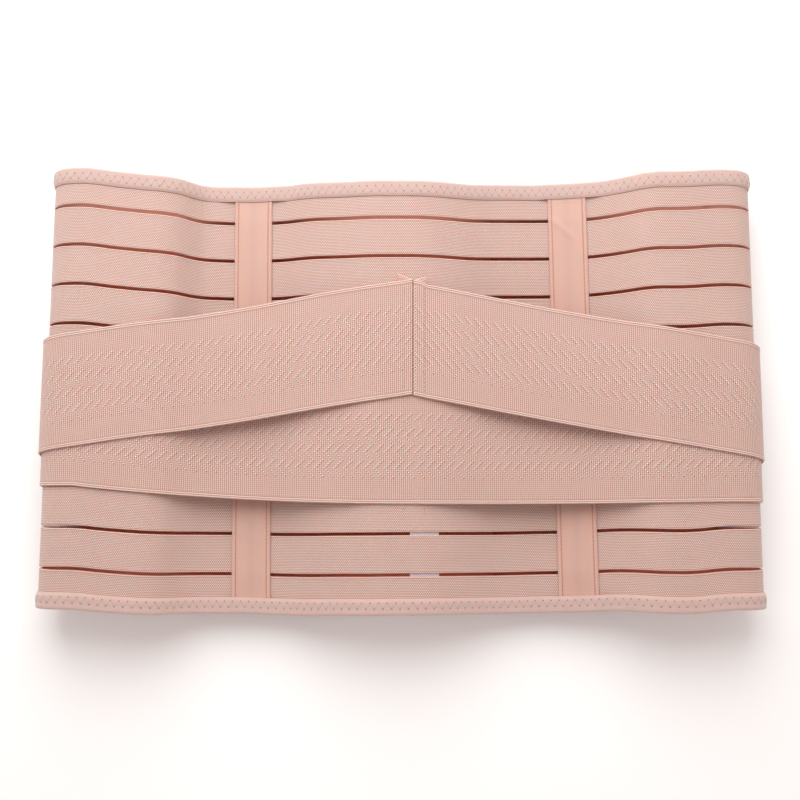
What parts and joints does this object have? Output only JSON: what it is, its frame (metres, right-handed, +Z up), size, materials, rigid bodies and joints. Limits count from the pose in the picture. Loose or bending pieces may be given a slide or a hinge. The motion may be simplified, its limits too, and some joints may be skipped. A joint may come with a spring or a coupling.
{
  "type": "abdominal binder",
  "caption": "Slotted elastic waist binder closed into a loop and lying on its front, with bound edges, upright stays and two wide compression straps across the back.",
  "frame": {"origin": "on the floor under the middle of the closed belt's box", "axes": "+X to the right along the belt's width seen from its rear face, +Y towards the top edge, +Z up from the floor out of the rear face"},
  "size_m": [0.4648, 0.2866, 0.0479],
  "materials": {
    "elastic_cloth": "matte woven elastic",
    "binding_tape": "soft folded tape with zigzag stitches",
    "casing_cloth": "smooth dense weave",
    "panel_cloth": "plain brushed cloth",
    "hook_cloth": "plain hook and loop tape",
    "strap_webbing": "figured elastic webbing with ribbed margins",
    "label_cloth": "plain white satin"
  },
  "bodies": {
    "root": {"elastic_band_01": "elastic_cloth", "elastic_band_02": "elastic_cloth", "elastic_band_03": "elastic_cloth", "elastic_band_04": "elastic_cloth", "elastic_band_05": "elastic_cloth", "elastic_band_06": "elastic_cloth", "elastic_band_07": "elastic_cloth", "elastic_band_08": "elastic_cloth", "elastic_band_09": "elastic_cloth", "elastic_band_10": "elastic_cloth", "elastic_band_11": "elastic_cloth", "top_binding": "binding_tape", "bottom_binding": "binding_tape", "stay_casing_left": "casing_cloth", "stay_casing_right": "casing_cloth", "front_panel_left": "panel_cloth", "front_panel_right": "panel_cloth", "hook_closure": "hook_cloth", "hook_tab_left": "hook_cloth", "hook_tab_right": "hook_cloth", "lower_strap": "strap_webbing", "upper_strap_left": "strap_webbing", "upper_strap_right": "strap_webbing", "care_label": "label_cloth"}
  },
  "joints": []
}
